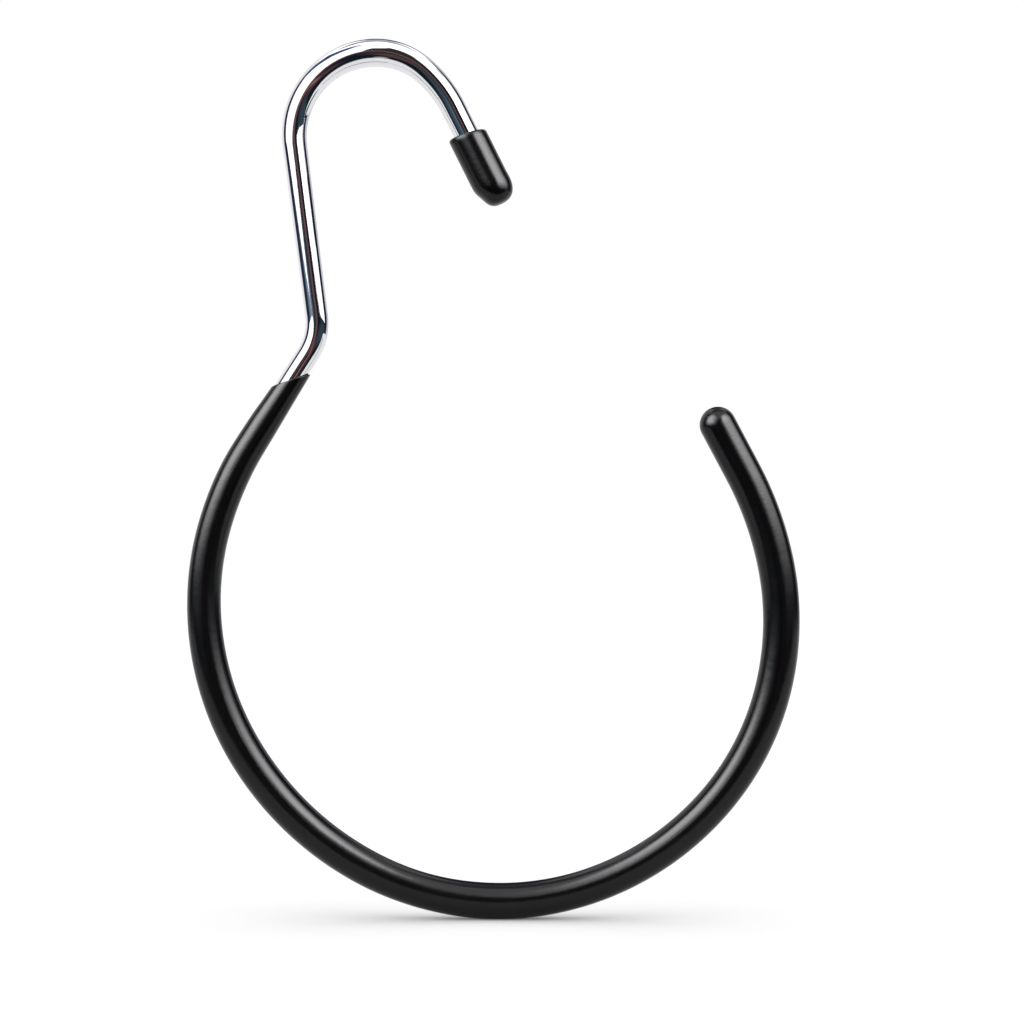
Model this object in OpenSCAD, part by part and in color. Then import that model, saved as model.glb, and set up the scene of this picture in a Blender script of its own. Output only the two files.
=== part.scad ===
// Scarf ring hanger: one plated steel rod, bent into a rail hook and an open ring.
// A soft sleeve grips the ring and a soft cap covers the hook's tip.
// The rod's centre line lies in the XZ plane, with Z up and the shank to the left.
// The origin is the point inside the top of the hook that rests on a rail.

/* [Rod] */
// Diameter of the plated steel rod
rod_d = 6; // [5:0.5:7]
// Bevel at each cut end of the rod
rod_bevel = 0.6; // [0.2:0.1:1]

/* [Hook] */
// Bend radius of the hook's top, on the side of its tip
hook_front_r = 18; // [16:0.5:24]
// Turn of the hook's top on the side of its tip, in degrees
hook_front_turn = 40.5; // [35:0.5:50]
// Bend radius where the hook opens out towards its tip
hook_tip_r = 31.5; // [26:0.5:40]
// Turn where the hook opens out towards its tip, in degrees
hook_tip_turn = 23; // [15:0.5:30]
// Straight length at the hook's tip, up to the rod's cut end
hook_tip_len = 23.8; // [22:0.1:28]
// Bend radius of the hook's top, on the side of the shank
hook_back_r = 20.6; // [18:0.1:26]
// Turn of the hook's top on the side of the shank, in degrees
hook_back_turn = 97.3; // [90:0.1:102]
// Straight length of the shank
shank_len = 42.7; // [35:0.1:60]

/* [Neck] */
// Bend radius of the kink under the shank
kink_r = 15; // [10:0.5:20]
// Turn of the kink, in degrees
kink_turn = 39.8; // [30:0.1:45]
// Straight length of the neck, from the kink to the ring
neck_len = 27.2; // [22:0.1:34]

/* [Ring] */
// Bend radius of the ring beside the neck
ring_back_r = 72.6; // [68:0.1:80]
// Turn of the ring beside the neck, in degrees
ring_back_turn = 64.5; // [55:0.5:70]
// Bend radius of the ring where it runs into its bottom
ring_low_r = 79; // [70:0.5:85]
// Turn of the ring where it runs into its bottom, in degrees
ring_low_turn = 30; // [20:0.5:40]
// Bend radius of the ring's bottom and far side
ring_far_r = 70.4; // [66:0.1:78]
// Turn of the ring's bottom and far side, in degrees
ring_far_turn = 129; // [120:0.5:135]
// Bend radius where the ring opens out towards its free end
ring_end_r = 84; // [75:1:100]
// Turn where the ring opens out towards its free end, in degrees
ring_end_turn = 17; // [10:0.5:20]
// Straight length at the free end, up to the rod's cut end
ring_end_len = 15.5; // [12:0.5:20]

/* [Sleeve] */
// Wall of the sleeve round the ring
sleeve_wall = 1.35; // [1:0.05:2]
// Wall of the sleeve at its mouth, where it is stretched thin
mouth_wall = 0.3; // [0.25:0.05:0.8]
// Distance from the kink to the middle of the sleeve's mouth
mouth_from_kink = 7.6; // [6:0.1:14]
// Slant of the mouth's cut, in degrees from square
mouth_slant = 50; // [0:1:52]
// Length over which the sleeve thickens from its mouth
taper_len = 100; // [60:5:110]
// Thickness of the sleeve's rounded end, beyond the rod
sleeve_end_wall = 2.1; // [1.5:0.1:4]

/* [Cap] */
// Wall of the cap on the hook's tip
cap_wall = 1.55; // [1.2:0.05:2.5]
// Depth of the cap's bore
cap_bore_len = 17; // [12:0.5:20]
// Thickness of the cap's closed end
cap_end_wall = 2; // [1.5:0.1:4]
// Rounding of the cap's lip
cap_lip_r = 0.7; // [0.3:0.05:1]
// Rounding of the cap's closed end
cap_nose_r = 3.8; // [2:0.1:4.2]

/* [Fit] */
// Clearance all round between the rod and the soft parts on it
grip_clearance = 0.05; // [0.02:0.01:0.1]
// Gap between a cut end of the rod and the soft part that covers it
end_gap = 0.3; // [0.1:0.1:1]

/* [Hidden] */
$fn = 96;

// The rod's way, from the hook's tip to the ring's free end.
// Each step is a straight [0, length] or a bend [radius, turn].
// A bend turns anticlockwise in front view where its turn is positive.
way = [
    [0, hook_tip_len],
    [hook_tip_r, hook_tip_turn],
    [hook_front_r, hook_front_turn],
    [hook_back_r, hook_back_turn],
    [0, shank_len],
    [kink_r, -kink_turn],
    [0, neck_len],
    [ring_back_r, ring_back_turn],
    [ring_low_r, ring_low_turn],
    [ring_far_r, ring_far_turn],
    [ring_end_r, ring_end_turn],
    [0, ring_end_len]
];
steps_to_top = 3;
steps_to_neck = 6;

// A pose is [x, z, heading]. The start is placed so that the rod's top is over the origin.
top_heading = 180;
start_heading = top_heading - hook_tip_turn - hook_front_turn;
to_top = pose_at([0, 0, start_heading], way_len(steps_to_top));
way_start = [-to_top[0], rod_d / 2 - to_top[1], start_heading];
rod_len = way_len(len(way));

// Neighbouring steps differ this much in radius and overlap this far, to join as one solid
join_step = 0.01;
join_run = 0.2;

grip_d = rod_d + 2 * grip_clearance;
sleeve_d = grip_d + 2 * sleeve_wall;
cap_d = grip_d + 2 * cap_wall;

mouth_at = way_len(steps_to_neck) + mouth_from_kink;
mouth_d = grip_d + 2 * mouth_wall;
mouth_reach = mouth_d / 2 * tan(mouth_slant) + rod_d / 6;
mouth_block = 4 * sleeve_d;
taper_end = mouth_at + taper_len;
taper_rings = 28;
taper_sides = 48;
// Step down from the full sleeve to the tapered stretch, where they meet
taper_step = 0.03;
sleeve_bore_end = rod_len + end_gap;
sleeve_dome_at = sleeve_bore_end + sleeve_end_wall - sleeve_d / 2;
dome_step = 2 * join_step;

cap_len = cap_end_wall + cap_bore_len;
cap_end_at = -end_gap - cap_end_wall;

function step_len(step) = step[0] == 0 ? step[1] : step[0] * abs(step[1]) * PI / 180;

// Length of the way's first steps
function way_len(steps, i = 0) = i == steps ? 0 : step_len(way[i]) + way_len(steps, i + 1);

// The pose after going some length along one step
function after(pose, step, along) =
    step[0] == 0
        ? [pose[0] + along * cos(pose[2]), pose[1] + along * sin(pose[2]), pose[2]]
        : let (
            side = sign(step[1]),
            heading = pose[2] + side * along / step[0] * 180 / PI
        ) [
            pose[0] + side * step[0] * (sin(heading) - sin(pose[2])),
            pose[1] - side * step[0] * (cos(heading) - cos(pose[2])),
            heading
        ];

// The pose at some length along the way
function pose_at(start, along, i = 0) =
    let (here = step_len(way[i]))
    i == len(way) - 1 || along <= here
        ? after(start, way[i], along)
        : pose_at(after(start, way[i], here), along - here, i + 1);

// The sleeve's outer radius where it tapers, at some length along the way
function taper_r(along) =
    let (left = 1 - min(max((along - mouth_at) / taper_len, 0), 1))
    mouth_d / 2 + (sleeve_wall - taper_step - mouth_wall) * (1 - left * left);

// Puts its children at a pose, with their X axis along the way
module at_pose(pose) {
    translate([pose[0], 0, pose[1]]) rotate([0, -pose[2], 0]) children();
}

// Turns its children's Z axis along the way
module along_way() {
    rotate([0, 90, 0]) children();
}

// A round bar along part of one step, from the origin along X
module bar_step(d, step, length) {
    if (step[0] == 0) {
        along_way() cylinder(d = d, h = length);
    } else {
        side = sign(step[1]);
        turn = length / step[0] * 180 / PI;
        translate([0, 0, side * step[0]])
            rotate([90, 0, 0])
                rotate([0, 0, side > 0 ? -90 : 90 - turn])
                    rotate_extrude(angle = turn)
                        translate([step[0], 0]) circle(d = d);
    }
}

// A round bar along the way between two lengths, which may run past the way's end
module bar(d, from, to) {
    for (i = [0 : len(way) - 1]) {
        before = way_len(i);
        thin = i % 2;
        first = max(from, before - thin * join_run);
        step_end = before + step_len(way[i]) + thin * join_run;
        last = i == len(way) - 1 ? to : min(to, step_end);
        if (last - first > join_run) {
            at_pose(after(pose_at(way_start, before), way[i], first - before))
                bar_step(d - 2 * thin * join_step, way[i], last - first);
        }
    }
}

// What the bevel takes off a cut end of the rod, which faces up at the origin
module bevel_cut() {
    rotate_extrude() polygon([
        [rod_d / 2 - 2 * rod_bevel, rod_bevel],
        [rod_d / 2 + rod_bevel, -2 * rod_bevel],
        [rod_d / 2 + rod_bevel, rod_bevel]
    ]);
}

module bent_rod() {
    color("silver") difference() {
        bar(rod_d, 0, rod_len);
        at_pose(way_start) rotate([0, 180, 0]) along_way() bevel_cut();
        at_pose(pose_at(way_start, rod_len)) along_way() bevel_cut();
    }
}

// The sleeve's tapered stretch, a closed skin through rings of points
module tapered_skin() {
    start = mouth_at - mouth_reach;
    spacing = (taper_end + join_run - start) / taper_rings;
    ring_points = [
        for (i = [0 : taper_rings])
            let (
                along = start + spacing * i,
                pose = pose_at(way_start, along),
                r = taper_r(along)
            )
            for (k = [0 : taper_sides - 1])
                let (
                    a = 360 * k / taper_sides,
                    out = r * sin(a)
                )
                [pose[0] - out * sin(pose[2]), r * cos(a), pose[1] + out * cos(pose[2])]
    ];
    sides = [
        for (i = [0 : taper_rings - 1])
            for (k = [0 : taper_sides - 1])
                let (
                    a = i * taper_sides + k,
                    b = i * taper_sides + (k + 1) % taper_sides
                )
                [a, a + taper_sides, b + taper_sides, b]
    ];
    ends = [
        [for (k = [0 : taper_sides - 1]) k],
        [for (k = [taper_sides - 1 : -1 : 0]) taper_rings * taper_sides + k]
    ];
    polyhedron(points = ring_points, faces = concat(sides, ends));
}

// Half a ball bulging along X, on a short stub that joins it to the bar behind
module dome(d) {
    along_way() rotate_extrude() {
        translate([0, -join_run]) square([d / 2, join_run]);
        intersection() {
            circle(d = d);
            square(d / 2);
        }
    }
}

// The block that cuts the sleeve's mouth on the slant
module mouth_cut() {
    at_pose(pose_at(way_start, mouth_at))
        rotate([0, -mouth_slant, 0])
            translate([-mouth_block / 2, 0, 0]) cube(mouth_block, center = true);
}

module ring_sleeve() {
    color("black") difference() {
        union() {
            tapered_skin();
            bar(sleeve_d, taper_end, sleeve_dome_at);
            at_pose(pose_at(way_start, sleeve_dome_at)) dome(sleeve_d - 2 * dome_step);
        }
        bar(grip_d, mouth_at - mouth_block / 2, sleeve_bore_end);
        mouth_cut();
    }
}

// The cap's half section, with its closed end at the origin and its lip above
module cap_section() {
    intersection() {
        union() {
            translate([cap_d / 2 - cap_nose_r, cap_nose_r]) circle(r = cap_nose_r);
            square([cap_d / 2 - cap_nose_r, cap_nose_r]);
            translate([0, cap_nose_r]) square([cap_d / 2, cap_len - cap_nose_r - cap_lip_r]);
            translate([0, cap_len - cap_lip_r]) square([cap_d / 2 - cap_lip_r, cap_lip_r]);
            translate([cap_d / 2 - cap_lip_r, cap_len - cap_lip_r]) circle(r = cap_lip_r);
        }
        square([cap_d / 2, cap_len]);
    }
}

module hook_tip_cap() {
    color("black") at_pose(pose_at(way_start, cap_end_at)) along_way() difference() {
        rotate_extrude() cap_section();
        translate([0, 0, cap_end_wall]) cylinder(d = grip_d, h = cap_len);
    }
}

bent_rod();
ring_sleeve();
hook_tip_cap();
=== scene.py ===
import math

import bpy
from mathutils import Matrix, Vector


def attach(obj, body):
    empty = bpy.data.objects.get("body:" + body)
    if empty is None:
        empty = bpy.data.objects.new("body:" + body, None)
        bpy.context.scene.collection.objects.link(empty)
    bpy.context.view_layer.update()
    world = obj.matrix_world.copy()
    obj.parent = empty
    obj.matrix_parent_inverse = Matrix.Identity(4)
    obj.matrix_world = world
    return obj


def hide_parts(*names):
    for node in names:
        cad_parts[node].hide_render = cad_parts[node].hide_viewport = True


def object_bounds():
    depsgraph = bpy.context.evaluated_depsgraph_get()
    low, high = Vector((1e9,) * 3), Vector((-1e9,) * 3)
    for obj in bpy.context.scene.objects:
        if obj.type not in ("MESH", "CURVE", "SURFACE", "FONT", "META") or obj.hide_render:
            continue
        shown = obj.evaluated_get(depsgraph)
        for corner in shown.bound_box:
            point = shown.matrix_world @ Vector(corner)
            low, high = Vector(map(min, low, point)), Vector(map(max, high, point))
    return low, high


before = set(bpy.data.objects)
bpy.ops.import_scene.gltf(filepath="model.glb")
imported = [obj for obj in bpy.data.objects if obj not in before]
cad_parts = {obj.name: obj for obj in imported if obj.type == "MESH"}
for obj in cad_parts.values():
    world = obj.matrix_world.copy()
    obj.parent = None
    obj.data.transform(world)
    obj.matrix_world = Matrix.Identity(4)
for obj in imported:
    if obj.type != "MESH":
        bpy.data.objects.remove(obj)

CAD_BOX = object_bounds()

# Lengths here are in millimetres and become metres in place(), unless a comment says otherwise.
MM = 0.001
BODY = "root"

# The photograph: its size in pixels, its scale, and the pixel that shows the frame's origin
PHOTO_SIZE = 1024
MM_PER_PIXEL = 0.25
ORIGIN_PIXEL = (376.5, 64.7)
CAMERA_DISTANCE = 650.0
CAMERA_NEAREST = 10.0
SENSOR = 36.0

# The rod's way from the hook's tip to the ring's free end.
# A step is a straight (0, length) or a bend (radius, turn in degrees).
WAY = [
    (0, 23.8),
    (31.5, 23.0),
    (18.0, 40.5),
    (20.6, 97.3),
    (0, 42.7),
    (15.0, -39.8),
    (0, 27.2),
    (72.6, 64.5),
    (79.0, 30.0),
    (70.4, 129.0),
    (84.0, 17.0),
    (0, 15.5),
]
STEPS_TO_TOP = 3
STEPS_TO_NECK = 6

# The rod's mesh is fine where the plating shows, and coarse from a little way inside the sleeve
ROD_D = 6.0
ROD_BEVEL = 0.6
ROD_SIDES = 72
ROD_SHARP_ANGLE = 30
ROD_FINE_STEP = 0.5
ROD_FINE_BEYOND_MOUTH = 12
ROD_COARSE_STEP = 3.0

# Radii as (length along the way, radius), rounded from the widths that the photograph shows.
# The rod is a little fuller where it is bent most.
ROD_RADII = [
    (0, 3.0), (19, 3.03), (36, 3.2), (49, 3.45), (62, 3.25),
    (76, 3.15), (88, 3.0), (104, 2.9), (122, 2.82), (160, 2.82),
]
SLEEVE_RADII = [
    (144, 3.26), (151, 3.52), (157, 3.75), (164, 3.9), (173, 4.05), (186, 4.12), (200, 4.19),
    (222, 4.36), (240, 4.51), (256, 4.58), (285, 4.54), (302, 4.46), (320, 4.52), (345, 4.42),
    (370, 4.4), (390, 4.42), (425, 4.58), (484, 4.58),
]
# How far the sleeve's middle lies left of the rod's way: its wall is a little uneven
SLEEVE_SHIFTS = [
    (150, 0.0), (166, 0.1), (180, 0.2), (198, 0.1), (245, 0.07), (276, -0.02), (348, 0.02),
    (372, -0.07), (384, -0.17), (398, -0.25), (410, -0.22), (424, -0.1), (440, -0.03), (484, -0.03),
]
MOUTH_FROM_KINK = 7.6
MOUTH_SLANT = 50.0
MOUTH_SLANT_REACH = 14
SLEEVE_END_FROM_ROD_END = 2.4
SLEEVE_PLAY = 0.03
SLEEVE_STEP = 0.9
SLEEVE_BODY_FROM_MOUTH = 15.5
DOME_RINGS = 15

# The sleeve's lip: where its bore shows, then (depth from the cut, share of the wall from the bore)
LIP_BORE_DEPTHS = (6.0, 0.3)
LIP_PROFILE = ((0.12, 0.08), (0.02, 0.3), (0.0, 0.55), (0.05, 0.8), (0.16, 0.95), (0.35, 1.0))
LIP_LENGTH = 15.0
LIP_STEP = 0.7

CAP_END_AT = -2.55
CAP_LENGTH = 19.25
CAP_R = 4.82
CAP_PLAY = 0.05
CAP_STEP = 0.8
CAP_BODY_FROM_NOSE = 0.6
CAP_BODY_TO_RIM = 1.4

# The nose is a flattened dome: its reach inwards, its length, its roundness and its lean
CAP_NOSE_R = 4.5
CAP_NOSE_LENGTH = 5.4
CAP_NOSE_POWER = 0.8
CAP_NOSE_SHIFT = -0.25
CAP_NOSE_SHIFT_LENGTH = 8.0
CAP_NOSE_RINGS = 18
# A shallow dent on the nose's left flank: how deep, where along the way, and how far it reaches
CAP_DENT = 0.5
CAP_DENT_AT = 0.3
CAP_DENT_REACH = 3.4

# The rim is slanted over its last stretch, in degrees, and its lip is half round
CAP_RIM_SLANT = 8.5
CAP_RIM_SLANT_REACH = 6
CAP_LIP_R = 0.75
CAP_LIP_RINGS = 12
CAP_BORE_DEPTHS = (1.6, 4.0)

# Sides of the black pieces' rings, and the radius of the small ring that closes a rounded end
SKIN_SIDES = 64
POLE_R = 0.02


def step_length(step):
    radius, size = step
    return size if radius == 0 else radius * abs(math.radians(size))


def way_length(steps):
    """The length of the way's first steps."""
    return sum(step_length(s) for s in WAY[:steps])


def go_along(pose, step, along):
    """The pose (x, z, heading) after going some length along one step."""
    x, z, heading = pose
    radius, size = step
    if radius == 0:
        return (x + along * math.cos(heading), z + along * math.sin(heading), heading)
    side = 1 if size > 0 else -1
    turned = heading + side * along / radius
    return (
        x + side * radius * (math.sin(turned) - math.sin(heading)),
        z - side * radius * (math.cos(turned) - math.cos(heading)),
        turned,
    )


def pose_from(start, along):
    """The pose at some length along the whole way."""
    pose = start
    for step in WAY[:-1]:
        here = step_length(step)
        if along <= here:
            return go_along(pose, step, along)
        pose = go_along(pose, step, here)
        along -= here
    return go_along(pose, WAY[-1], along)


def first_pose():
    """The start of the way, placed so that the rod's top is over the origin."""
    turn_to_top = sum(math.radians(size) for radius, size in WAY[:STEPS_TO_TOP] if radius)
    heading = math.pi - turn_to_top
    x, z, _ = pose_from((0, 0, heading), way_length(STEPS_TO_TOP))
    return (-x, ROD_D / 2 - z, heading)


WAY_START = first_pose()
WAY_END = way_length(len(WAY))
MOUTH_AT = way_length(STEPS_TO_NECK) + MOUTH_FROM_KINK


def place(along, out, front):
    """A point in metres: out lies left of the way in front view, front towards the camera."""
    x, z, heading = pose_from(WAY_START, along)
    return Vector((
        (x - out * math.sin(heading)) * MM,
        -front * MM,
        (z + out * math.cos(heading)) * MM,
    ))


def smooth_step(t):
    t = min(max(t, 0.0), 1.0)
    return t * t * (3 - 2 * t)


def value_at(table, along):
    """A smooth value between the table's points, by a cubic through their mean slopes."""
    if along <= table[0][0]:
        return table[0][1]
    if along >= table[-1][0]:
        return table[-1][1]
    i = max(k for k in range(len(table) - 1) if table[k][0] <= along)

    def slope(k):
        a = table[max(k - 1, 0)]
        b = table[min(k + 1, len(table) - 1)]
        return (b[1] - a[1]) / (b[0] - a[0])

    (x0, y0), (x1, y1) = table[i], table[i + 1]
    span = x1 - x0
    t = (along - x0) / span
    return (
        (2 * t**3 - 3 * t**2 + 1) * y0
        + (t**3 - 2 * t**2 + t) * span * slope(i)
        + (3 * t**2 - 2 * t**3) * y1
        + (t**3 - t**2) * span * slope(i + 1)
    )


def spaced(start, end, step):
    """Even places from start to end, about a step apart."""
    count = max(1, round((end - start) / step))
    return [start + (end - start) * i / count for i in range(count + 1)]


def skin(name, rings, sides, material, close_start=True, close_end=True, sharp=None):
    """A mesh through rings. A ring is a function of the angle giving (along, out, front) in mm."""
    points = []
    lengths = []
    for ring in rings:
        for k in range(sides):
            angle = 2 * math.pi * k / sides
            along, out, front = ring(angle)
            points.append(place(along, out, front))
            lengths.append(along)
    faces = []
    for i in range(len(rings) - 1):
        for k in range(sides):
            a = i * sides + k
            b = i * sides + (k + 1) % sides
            faces.append((a, b, b + sides, a + sides))
    if close_start:
        faces.append(tuple(range(sides - 1, -1, -1)))
    if close_end:
        first = (len(rings) - 1) * sides
        faces.append(tuple(range(first, first + sides)))
    mesh = bpy.data.meshes.new(name)
    mesh.from_pydata(points, [], faces)
    mesh.validate()
    add_way_map(mesh, lengths, sides)
    mesh.shade_smooth()
    if sharp:
        mesh.set_sharp_from_angle(angle=math.radians(sharp))
    mesh.materials.append(material)
    piece = bpy.data.objects.new(name, mesh)
    bpy.context.scene.collection.objects.link(piece)
    return piece


def add_way_map(mesh, lengths, sides):
    """A map of each point's turn round the rod, 0 to 1, and its length along the way, in metres."""
    layer = mesh.uv_layers.new(name="way")
    for face in mesh.polygons:
        turns = [(mesh.loops[i].vertex_index % sides) / sides for i in face.loop_indices]
        wraps = len(face.vertices) == 4 and max(turns) - min(turns) > 0.5
        for i, turn in zip(face.loop_indices, turns):
            vertex = mesh.loops[i].vertex_index
            if wraps and turn < 0.5:
                turn += 1
            layer.data[i].uv = (turn, lengths[vertex] * MM)


def round_ring(along, radius, shift=0.0):
    """A circle square to the way, its middle shifted to the left."""
    return lambda a: (along, shift + radius * math.sin(a), radius * math.cos(a))


# Materials

# A noise scale is in waves a metre. Where it has three values, the first is in waves a turn round the
# rod and the second in waves a metre along it. Bump depths are in metres.
CHROME_COLOUR = (0.77, 0.77, 0.79, 1)
CHROME_ROUGHNESS = (0.03, 0.075)
CHROME_HAZE = 90.0
CHROME_LINES = (60.0, 25.0, 1.0)
CHROME_LINES_DEPTH = 0.000004
CHROME_RIPPLE = 260.0
CHROME_RIPPLE_DEPTH = 0.000012

VINYL_COLOUR = (0.0012, 0.0012, 0.0014, 1)
VINYL_SPECULAR = 0.25
VINYL_IOR = 1.5
VINYL_ROUGHNESS = (0.14, 0.24)
VINYL_SMUDGES = 120.0
VINYL_GRAIN = 1400.0
VINYL_GRAIN_DEPTH = 0.00002
VINYL_DRAWN = (40.0, 30.0, 1.0)
VINYL_DRAWN_DEPTH = 0.00003
VINYL_RIPPLES = (4.0, 260.0, 1.0)
VINYL_RIPPLES_DEPTH = 0.00004


def new_material(name):
    material = bpy.data.materials.new(name)
    material.use_nodes = True
    tree = material.node_tree
    return material, tree, tree.nodes["Principled BSDF"]


def add_node(tree, kind, **inputs):
    node = tree.nodes.new(kind)
    for key, value in inputs.items():
        socket = node.inputs[key.replace("_", " ")]
        if isinstance(value, bpy.types.NodeSocket):
            tree.links.new(value, socket)
        else:
            socket.default_value = value
    return node


def noise_on(tree, vector, scale=1.0, detail=2.0, rough=0.5):
    node = add_node(tree, "ShaderNodeTexNoise", Vector=vector, Scale=scale, Detail=detail, Roughness=rough)
    return node.outputs["Fac"]


def spread(tree, value, low, high):
    """Low where the value is 0, high where it is 1."""
    node = add_node(tree, "ShaderNodeMapRange", Value=value)
    node.inputs["To Min"].default_value = low
    node.inputs["To Max"].default_value = high
    return node.outputs["Result"]


def bump(tree, height, depth, normal=None):
    """The surface raised by the height, on top of an earlier bump if there is one."""
    node = add_node(tree, "ShaderNodeBump", Height=height, Distance=depth, Strength=1.0)
    if normal:
        tree.links.new(normal, node.inputs["Normal"])
    return node.outputs["Normal"]


def streaks_on(tree, source, scales):
    """Noise with its own scale in each direction of the map."""
    stretched = add_node(tree, "ShaderNodeMapping", Vector=source, Scale=scales).outputs["Vector"]
    return noise_on(tree, stretched)


def chrome():
    """Bright plating: a mirror with faint polishing lines along the rod and a few hazy patches."""
    material, tree, shader = new_material("chrome_plate")
    shader.inputs["Base Color"].default_value = CHROME_COLOUR
    shader.inputs["Metallic"].default_value = 1.0
    place_in = tree.nodes.new("ShaderNodeTexCoord").outputs
    haze = noise_on(tree, place_in["Object"], CHROME_HAZE, detail=3.0)
    tree.links.new(spread(tree, haze, *CHROME_ROUGHNESS), shader.inputs["Roughness"])
    lines = streaks_on(tree, place_in["UV"], CHROME_LINES)
    ripple = noise_on(tree, place_in["Object"], CHROME_RIPPLE, detail=1.0)
    lined = bump(tree, lines, CHROME_LINES_DEPTH)
    tree.links.new(bump(tree, ripple, CHROME_RIPPLE_DEPTH, lined), shader.inputs["Normal"])
    return material


def soft_vinyl():
    """Black soft vinyl: satin, with fine grain, drawn lines and smudges in its gloss."""
    material, tree, shader = new_material("black_vinyl")
    shader.inputs["Base Color"].default_value = VINYL_COLOUR
    shader.inputs["Specular IOR Level"].default_value = VINYL_SPECULAR
    shader.inputs["IOR"].default_value = VINYL_IOR
    place_in = tree.nodes.new("ShaderNodeTexCoord").outputs
    smudges = noise_on(tree, place_in["Object"], VINYL_SMUDGES, detail=4.0, rough=0.6)
    tree.links.new(spread(tree, smudges, *VINYL_ROUGHNESS), shader.inputs["Roughness"])
    grain = noise_on(tree, place_in["Object"], VINYL_GRAIN, detail=3.0, rough=0.6)
    drawn = streaks_on(tree, place_in["UV"], VINYL_DRAWN)
    ripples = streaks_on(tree, place_in["UV"], VINYL_RIPPLES)
    normal = bump(tree, grain, VINYL_GRAIN_DEPTH)
    normal = bump(tree, drawn, VINYL_DRAWN_DEPTH, normal)
    normal = bump(tree, ripples, VINYL_RIPPLES_DEPTH, normal)
    tree.links.new(normal, shader.inputs["Normal"])
    return material


# The pieces


def bent_rod(material):
    """The plated rod, fine where it shows and coarser inside the sleeve."""
    fine_to = MOUTH_AT + ROD_FINE_BEYOND_MOUTH
    stations = spaced(ROD_BEVEL, fine_to, ROD_FINE_STEP)
    stations += spaced(fine_to, WAY_END - ROD_BEVEL, ROD_COARSE_STEP)[1:]
    rings = [round_ring(0, ROD_D / 2 - ROD_BEVEL)]
    rings += [round_ring(s, value_at(ROD_RADII, s)) for s in stations]
    rings.append(round_ring(WAY_END, ROD_D / 2 - ROD_BEVEL))
    return skin("bent_rod_plated", rings, ROD_SIDES, material, sharp=ROD_SHARP_ANGLE)


def mouth_offset(out):
    """How far the slanted mouth lies along the way from its middle, at some place across the rod."""
    return -out * math.tan(math.radians(MOUTH_SLANT))


def sleeve_lip_ring(depth, share, bore):
    """A ring at the mouth: depth along the sleeve from the cut, share of the wall from the bore."""
    def ring(a):
        outer = value_at(SLEEVE_RADII, MOUTH_AT + depth)
        radius = bore + (outer - bore) * share
        fade = 1 - smooth_step(depth / MOUTH_SLANT_REACH)
        along = MOUTH_AT + mouth_offset(radius * math.sin(a)) * fade + depth
        shift = value_at(SLEEVE_SHIFTS, MOUTH_AT + depth)
        return (along, shift + radius * math.sin(a), radius * math.cos(a))
    return ring


def ring_sleeve(material):
    """The sleeve: a slanted, rounded lip, a skin that swells along the ring, and a domed end."""
    bore = value_at(ROD_RADII, MOUTH_AT) + SLEEVE_PLAY
    rings = [sleeve_lip_ring(depth, 0.0, bore) for depth in LIP_BORE_DEPTHS]
    rings += [sleeve_lip_ring(depth, share, bore) for depth, share in LIP_PROFILE]
    rings += [sleeve_lip_ring(depth, 1.0, bore) for depth in spaced(LIP_STEP, LIP_LENGTH, LIP_STEP)]
    dome_r = value_at(SLEEVE_RADII, WAY_END)
    dome_at = WAY_END + SLEEVE_END_FROM_ROD_END - dome_r
    for s in spaced(MOUTH_AT + SLEEVE_BODY_FROM_MOUTH, dome_at, SLEEVE_STEP):
        rings.append(round_ring(s, value_at(SLEEVE_RADII, s), value_at(SLEEVE_SHIFTS, s)))
    for i in range(1, DOME_RINGS + 1):
        angle = math.radians(90 * i / DOME_RINGS)
        radius = max(dome_r * math.cos(angle), POLE_R)
        rings.append(round_ring(dome_at + dome_r * math.sin(angle), radius, SLEEVE_SHIFTS[-1][1]))
    return skin("ring_sleeve_skin", rings, SKIN_SIDES, material, close_start=False)


def hook_tip_cap(material):
    """The cap: a blind tube with a slanted rounded lip and a softly flattened nose."""
    lip_tilt = math.tan(math.radians(CAP_RIM_SLANT))
    rim_at = CAP_END_AT + CAP_LENGTH
    bore = value_at(ROD_RADII, rim_at) + CAP_PLAY

    def body_ring(along, radius, tilt=0.0):
        shift = CAP_NOSE_SHIFT * (1 - smooth_step((along - CAP_END_AT) / CAP_NOSE_SHIFT_LENGTH))
        dent = CAP_DENT * smooth_step(1 - abs(along - CAP_DENT_AT) / CAP_DENT_REACH)
        return lambda a: (
            along + tilt * radius * math.sin(a),
            shift + (radius - dent * max(math.sin(a), 0)) * math.sin(a),
            radius * math.cos(a),
        )

    rings = []
    for i in range(CAP_NOSE_RINGS + 1):
        angle = math.radians(90 * i / CAP_NOSE_RINGS)
        radius = CAP_R - CAP_NOSE_R * (1 - math.sin(angle) ** CAP_NOSE_POWER) if i else POLE_R
        rings.append(body_ring(CAP_END_AT + CAP_NOSE_LENGTH * (1 - math.cos(angle)), radius))
    body_from = CAP_END_AT + CAP_NOSE_LENGTH + CAP_BODY_FROM_NOSE
    for s in spaced(body_from, rim_at - CAP_BODY_TO_RIM, CAP_STEP):
        share = smooth_step((s - rim_at + CAP_RIM_SLANT_REACH) / CAP_RIM_SLANT_REACH)
        rings.append(body_ring(s, CAP_R, lip_tilt * share))
    for i in range(1, CAP_LIP_RINGS + 1):
        angle = math.radians(180 * i / CAP_LIP_RINGS)
        radius = CAP_R - CAP_LIP_R * (1 - math.cos(angle))
        rings.append(body_ring(rim_at - CAP_LIP_R + CAP_LIP_R * math.sin(angle), radius, lip_tilt))
    rings += [body_ring(rim_at - depth, bore, lip_tilt) for depth in CAP_BORE_DEPTHS]
    return skin("hook_tip_cap_skin", rings, SKIN_SIDES, material, close_end=False)


# The studio


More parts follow.
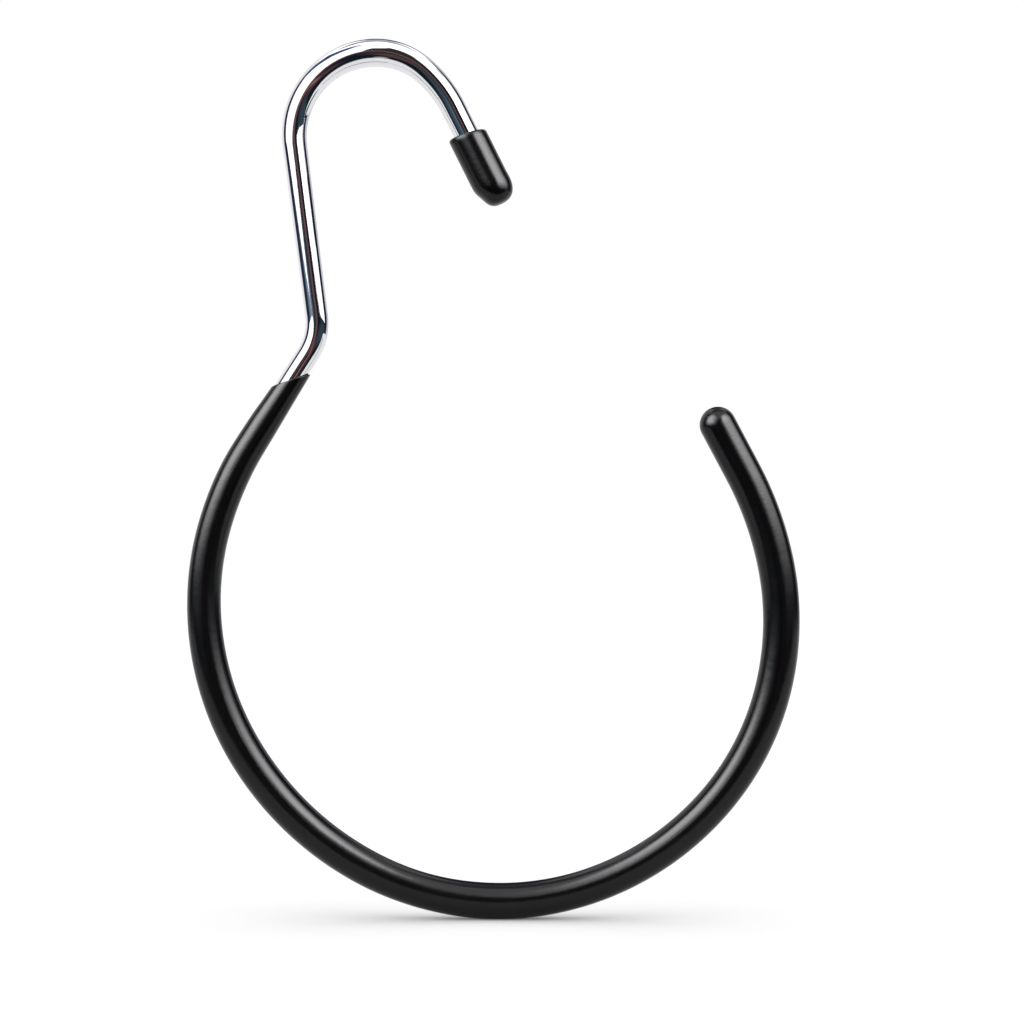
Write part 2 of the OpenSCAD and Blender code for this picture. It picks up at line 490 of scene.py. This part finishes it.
def math_on(tree, operation, *values):
    node = tree.nodes.new("ShaderNodeMath")
    node.operation = operation
    for socket, value in zip(node.inputs, values):
        if isinstance(value, bpy.types.NodeSocket):
            tree.links.new(value, socket)
        else:
            socket.default_value = value
    return node.outputs[0]


def ramp_up(tree, value, start, end):
    """0 below start, 1 above end, smooth between."""
    node = add_node(tree, "ShaderNodeMapRange", Value=value)
    node.interpolation_type = "SMOOTHSTEP"
    node.inputs["From Min"].default_value = start
    node.inputs["From Max"].default_value = end
    return node.outputs["Result"]


def blend_colours(tree, share, first, second):
    node = tree.nodes.new("ShaderNodeMix")
    node.data_type = "RGBA"
    tree.links.new(share, node.inputs["Factor"])
    for socket, value in ((node.inputs[6], first), (node.inputs[7], second)):
        if isinstance(value, bpy.types.NodeSocket):
            tree.links.new(value, socket)
        else:
            socket.default_value = (*value, 1)
    return node.outputs[2]


# The studio that reflections see, by direction: side and height are degrees from straight in front.
# A dark room in front, a pale one behind, and a bright ceiling. The light cards stand in the front half.
DARK_ROOM = (0.006, 0.012, 0.018)
PALE_ROOM = (1.0, 1.0, 1.0)
# The pale room fades in over these heights in degrees, and from front to back over these values,
# where 1 is straight in front and -1 straight behind.
PALE_ROOM_HEIGHT = (-2.0, 2.0)
PALE_ROOM_FRONT = (0.1, -0.1)
WHITE = (1.0, 1.0, 1.0)

# Painted in this order, each over the ones before. Wide and tall are reaches from the middle.
STUDIO_SHAPES = [
    {"name": "rear_left", "side": -150, "height": 30, "wide": 45, "tall": 36, "soft": 0.1,
     "colour": (1.0, 1.0, 1.0)},
    {"name": "rear_right", "side": 152, "height": 14, "wide": 40, "tall": 46, "soft": 0.15,
     "colour": (0.72, 0.72, 0.78)},
    {"name": "ceiling", "side": 0, "height": 90, "wide": 400, "tall": 38, "soft": 0.08,
     "colour": (2.2, 2.2, 2.2)},
    {"name": "ceiling_front", "side": -8, "height": 44, "wide": 16, "tall": 15, "soft": 0.1,
     "colour": (2.2, 2.2, 2.2)},
    {"name": "ceiling_right", "side": 26, "height": 46, "wide": 22, "tall": 9, "soft": 0.1,
     "colour": (2.2, 2.2, 2.2)},
    {"name": "right_shoulder", "side": 27.4, "height": 30.0, "wide": 20, "tall": 9, "tilt": 130,
     "soft": 0.12, "colour": (1.6, 1.6, 1.6)},
    {"name": "rear_dark", "side": 180, "height": 0, "wide": 14, "tall": 62, "soft": 0.3,
     "colour": (0.06, 0.07, 0.085)},
    {"name": "rear_top", "side": 180, "height": 74, "wide": 80, "tall": 14, "soft": 0.4,
     "colour": (0.42, 0.45, 0.55)},
    {"name": "gap_high", "side": 5, "height": 26, "wide": 7, "tall": 14, "tilt": -28, "soft": 0.2,
     "colour": (0.03, 0.03, 0.024)},
    {"name": "left_flag", "side": -91, "height": 18, "wide": 17, "tall": 32, "soft": 0.4,
     "colour": (0.02, 0.026, 0.06)},
    {"name": "left_streak", "side": -62, "height": 56, "wide": 38, "tall": 9, "tilt": 9, "soft": 0.3,
     "colour": (0.05, 0.07, 0.19)},
    {"name": "rear_streak", "side": -125, "height": 70, "wide": 28, "tall": 4, "soft": 0.6,
     "colour": (0.2, 0.22, 0.28)},
    {"name": "right_flag", "side": 112, "height": 19, "wide": 18, "tall": 35, "tilt": -22, "soft": 0.3,
     "colour": (0.012, 0.018, 0.036)},
    {"name": "blue_left", "side": -40, "height": -5, "wide": 28, "tall": 12, "soft": 0.5,
     "round": True, "colour": (0.05, 0.08, 0.11)},
    {"name": "pale_left", "side": -48, "height": 0, "wide": 22, "tall": 5, "tilt": -6, "soft": 0.6,
     "round": True, "colour": (0.22, 0.29, 0.34)},
    {"name": "teal_right", "side": 58, "height": -5, "wide": 34, "tall": 9, "soft": 0.4, "round": True,
     "colour": (0.035, 0.06, 0.08)},
    {"name": "reddish_left", "side": -10, "height": -18, "wide": 8, "tall": 14, "soft": 0.5,
     "round": True, "colour": (0.10, 0.055, 0.058)},
    {"name": "reddish_right", "side": 20, "height": -16, "wide": 11, "tall": 14, "soft": 0.5,
     "round": True, "colour": (0.085, 0.044, 0.048)},
    {"name": "reddish_core", "side": 2, "height": 5, "wide": 9, "tall": 5, "soft": 0.5, "round": True,
     "colour": (0.16, 0.085, 0.088)},
    {"name": "pale_low", "side": -9, "height": -47, "wide": 6, "tall": 5, "soft": 0.4, "round": True,
     "colour": (0.5, 0.47, 0.45)},
    {"name": "warm_line", "side": 13, "height": -6, "wide": 1.3, "tall": 9, "tilt": 40, "soft": 0.6,
     "colour": (0.34, 0.17, 0.14)},
]

# Light cards, in degrees and millimetres. Each stands upright at its distance from the origin, square
# to its side's direction, and across and up are measured from its point at the origin's height.
# The plating sees plain white cards. The vinyl sees far stronger, soft-edged ones, as under two lamps.
CARD_COLOUR = (1, 1, 1.02, 1)
PLATING_CARDS = [
    {"name": "left_plating_card", "side": -42, "distance": 568, "glow": 1.5,
     "outline": [(-420, 0), (-140, -55), (0, -55), (420, 98), (420, 680), (-420, 630)]},
    {"name": "right_plating_card", "side": 60, "distance": 568, "glow": 1.5,
     "outline": [(-356, 75), (-100, 15), (356, -30), (356, 700), (-356, 700)]},
]
# Where a vinyl card's light rises and falls off across it, and likewise upwards
VINYL_CARDS = [
    {"name": "left_vinyl_card", "side": -42, "distance": 570, "glow": 18.0,
     "across": ((-690, -110), (-90, 480)), "up": ((-150, 180), (330, 1400))},
    {"name": "right_vinyl_card", "side": 60, "distance": 570, "glow": 18.0,
     "across": ((-430, -130), (-90, 530)), "up": ((-150, 240), (310, 900))},
]


def shape_share(tree, side, height, shape):
    """1 inside a studio shape, 0 outside, with a soft edge."""
    tilt = math.radians(shape.get("tilt", 0))
    across = math_on(tree, "WRAP", math_on(tree, "SUBTRACT", side, shape["side"]), 180.0, -180.0)
    up = math_on(tree, "SUBTRACT", height, shape["height"])
    u = math_on(tree, "ADD", math_on(tree, "MULTIPLY", across, math.cos(tilt)),
                math_on(tree, "MULTIPLY", up, math.sin(tilt)))
    v = math_on(tree, "SUBTRACT", math_on(tree, "MULTIPLY", up, math.cos(tilt)),
                math_on(tree, "MULTIPLY", across, math.sin(tilt)))
    u = math_on(tree, "ABSOLUTE", math_on(tree, "DIVIDE", u, shape["wide"]))
    v = math_on(tree, "ABSOLUTE", math_on(tree, "DIVIDE", v, shape["tall"]))
    if shape.get("round"):
        squares = math_on(tree, "ADD", math_on(tree, "MULTIPLY", u, u), math_on(tree, "MULTIPLY", v, v))
        reach = math_on(tree, "SQRT", squares)
    else:
        reach = math_on(tree, "MAXIMUM", u, v)
    soft = shape["soft"]
    return math_on(tree, "SUBTRACT", 1.0, ramp_up(tree, reach, 1 - soft, 1 + soft))


def studio_world():
    """The studio as the object's gloss sees it, and plain white to the camera."""
    world = bpy.data.worlds.new("studio")
    world.use_nodes = True
    bpy.context.scene.world = world
    world.cycles_visibility.diffuse = False
    tree = world.node_tree
    tree.nodes.clear()
    towards = tree.nodes.new("ShaderNodeTexCoord").outputs["Generated"]
    xyz = add_node(tree, "ShaderNodeSeparateXYZ", Vector=towards).outputs
    front = math_on(tree, "MULTIPLY", xyz["Y"], -1.0)
    side = math_on(tree, "DEGREES", math_on(tree, "ARCTAN2", xyz["X"], front))
    height = math_on(tree, "DEGREES", math_on(tree, "ARCSINE", xyz["Z"]))

    above = ramp_up(tree, height, *PALE_ROOM_HEIGHT)
    behind = ramp_up(tree, front, *PALE_ROOM_FRONT)
    colour = blend_colours(tree, math_on(tree, "MULTIPLY", above, behind), DARK_ROOM, PALE_ROOM)
    for shape in STUDIO_SHAPES:
        colour = blend_colours(tree, shape_share(tree, side, height, shape), colour, shape["colour"])

    path = tree.nodes.new("ShaderNodeLightPath").outputs
    seen = blend_colours(tree, path["Is Camera Ray"], colour, WHITE)
    background = add_node(tree, "ShaderNodeBackground", Color=seen, Strength=1.0)
    out = tree.nodes.new("ShaderNodeOutputWorld")
    tree.links.new(background.outputs[0], out.inputs["Surface"])


def hump(tree, value, rise, fall):
    """0 to 1 over the rise and back to 0 over the fall, both in millimetres."""
    up = ramp_up(tree, value, rise[0] * MM, rise[1] * MM)
    down = ramp_up(tree, value, fall[1] * MM, fall[0] * MM)
    return math_on(tree, "MULTIPLY", up, down)


def card_outline(card):
    """A plain card's own outline, or the rectangle in which a soft-edged one glows."""
    if "outline" in card:
        return card["outline"]
    left, right = card["across"][0][0], card["across"][1][1]
    low, high = card["up"][0][0], card["up"][1][1]
    return [(left, low), (right, low), (right, high), (left, high)]


def card_material(card):
    """A glow that lets what lies behind it through as well."""
    material = bpy.data.materials.new(card["name"])
    material.use_nodes = True
    tree = material.node_tree
    tree.nodes.clear()
    light = add_node(tree, "ShaderNodeEmission", Color=CARD_COLOUR, Strength=card["glow"])
    if "across" in card:
        place_in = tree.nodes.new("ShaderNodeTexCoord").outputs["Object"]
        spot = add_node(tree, "ShaderNodeSeparateXYZ", Vector=place_in).outputs
        wide = hump(tree, spot["X"], *card["across"])
        tall = hump(tree, spot["Y"], *card["up"])
        glow = math_on(tree, "MULTIPLY", math_on(tree, "MULTIPLY", wide, tall), card["glow"])
        tree.links.new(glow, light.inputs["Strength"])
    clear = tree.nodes.new("ShaderNodeBsdfTransparent")
    both = tree.nodes.new("ShaderNodeAddShader")
    tree.links.new(light.outputs[0], both.inputs[0])
    tree.links.new(clear.outputs[0], both.inputs[1])
    out = tree.nodes.new("ShaderNodeOutputMaterial")
    tree.links.new(both.outputs[0], out.inputs["Surface"])
    return material


def light_card(card, lit):
    """A glowing card that only the gloss of some pieces shows."""
    mesh = bpy.data.meshes.new(card["name"])
    corners = [(across * MM, up * MM, 0) for across, up in card_outline(card)]
    mesh.from_pydata(corners, [], [tuple(range(len(corners)))])
    mesh.materials.append(card_material(card))
    board = bpy.data.objects.new(card["name"], mesh)
    side = math.radians(card["side"])
    away = card["distance"] * MM
    board.location = (away * math.sin(side), -away * math.cos(side), 0)
    board.rotation_euler = (math.radians(90), 0, side)
    board.visible_camera = False
    board.visible_diffuse = False
    board.visible_shadow = False
    board.light_linking.receiver_collection = lit
    bpy.context.scene.collection.objects.link(board)


def lit_together(name, pieces):
    """The pieces that share their light cards."""
    group = bpy.data.collections.new(name)
    for piece in pieces:
        group.objects.link(piece)
    return group


# A wide lamp overhead lays a soft shadow where the ring touches the paper, and lifts its grey to white
FLOOR_LAMP_ANGLE = 178
FLOOR_LAMP_STRENGTH = 7.2


def floor_lamp():
    light = bpy.data.lights.new("floor_lamp", "SUN")
    light.angle = math.radians(FLOOR_LAMP_ANGLE)
    light.energy = FLOOR_LAMP_STRENGTH
    holder = bpy.data.objects.new("floor_lamp", light)
    holder.visible_glossy = False
    bpy.context.scene.collection.objects.link(holder)


# The outline of the paper floor, and the depths between which it turns from dark to paper. To the
# camera the dark part in front is white as well.
PAPER = [
    (-900, -290), (-420, -340), (-160, -190), (-70, -180), (140, -180), (300, -170), (1300, -170),
    (1300, 3000), (-900, 3000),
]
PAPER_COLOUR = (0.43, 0.43, 0.435)
PAPER_GLOW = 0.08
PAPER_WHITE = 1.05
PAPER_FADE = (-190, -134)
PAPER_ROUGHNESS = 0.9


def studio_floor(low):
    """A sheet of grey paper that keeps the ring's shadow. Lamp and glow bring it up to white."""
    mesh = bpy.data.meshes.new("studio_floor")
    corners = [(x * MM, y * MM, low) for x, y in PAPER]
    mesh.from_pydata(corners, [], [tuple(range(len(corners)))])
    material, tree, shader = new_material("floor_paper")
    shader.inputs["Roughness"].default_value = PAPER_ROUGHNESS
    shader.inputs["Specular IOR Level"].default_value = 0.0
    shader.inputs["Emission Color"].default_value = (*WHITE, 1)
    spot = tree.nodes.new("ShaderNodeTexCoord").outputs["Object"]
    depth = add_node(tree, "ShaderNodeSeparateXYZ", Vector=spot).outputs["Y"]
    shown = ramp_up(tree, depth, PAPER_FADE[0] * MM, PAPER_FADE[1] * MM)
    paper = blend_colours(tree, shown, DARK_ROOM, PAPER_COLOUR)
    tree.links.new(paper, shader.inputs["Base Color"])
    seen = tree.nodes.new("ShaderNodeLightPath").outputs["Is Camera Ray"]
    glow = math_on(tree, "MULTIPLY", seen, spread(tree, shown, PAPER_WHITE, PAPER_GLOW))
    tree.links.new(glow, shader.inputs["Emission Strength"])
    mesh.materials.append(material)
    floor = bpy.data.objects.new("studio_floor", mesh)
    bpy.context.scene.collection.objects.link(floor)


# The middle of the photograph, in the frame
VIEW_X = (PHOTO_SIZE / 2 - ORIGIN_PIXEL[0]) * MM_PER_PIXEL
VIEW_Z = (ORIGIN_PIXEL[1] - PHOTO_SIZE / 2) * MM_PER_PIXEL


def photo_camera():
    """Looks along +Y at the middle of the photograph, square to the plane of the rod."""
    lens = bpy.data.cameras.new("photo_camera")
    lens.sensor_width = SENSOR
    lens.lens = SENSOR * CAMERA_DISTANCE / (PHOTO_SIZE * MM_PER_PIXEL)
    lens.clip_start = CAMERA_NEAREST * MM
    camera = bpy.data.objects.new("photo_camera", lens)
    camera.location = (VIEW_X * MM, -CAMERA_DISTANCE * MM, VIEW_Z * MM)
    camera.rotation_euler = (math.radians(90), 0, 0)
    bpy.context.scene.collection.objects.link(camera)
    bpy.context.scene.camera = camera


def dress(piece, node):
    """The piece rides on the body in place of its CAD node, which is hidden."""
    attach(piece, BODY)
    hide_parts(node)


photo_camera()
studio_world()
studio_floor(CAD_BOX[0][2])
floor_lamp()
bpy.context.scene.view_settings.view_transform = "Standard"

vinyl = soft_vinyl()
rod = bent_rod(chrome())
sleeve = ring_sleeve(vinyl)
cap = hook_tip_cap(vinyl)
dress(rod, "bent_rod")
dress(sleeve, "ring_sleeve")
dress(cap, "hook_tip_cap")
plated = lit_together("plated_pieces", [rod])
black = lit_together("black_pieces", [sleeve, cap])
for card in PLATING_CARDS:
    light_card(card, plated)
for card in VINYL_CARDS:
    light_card(card, black)
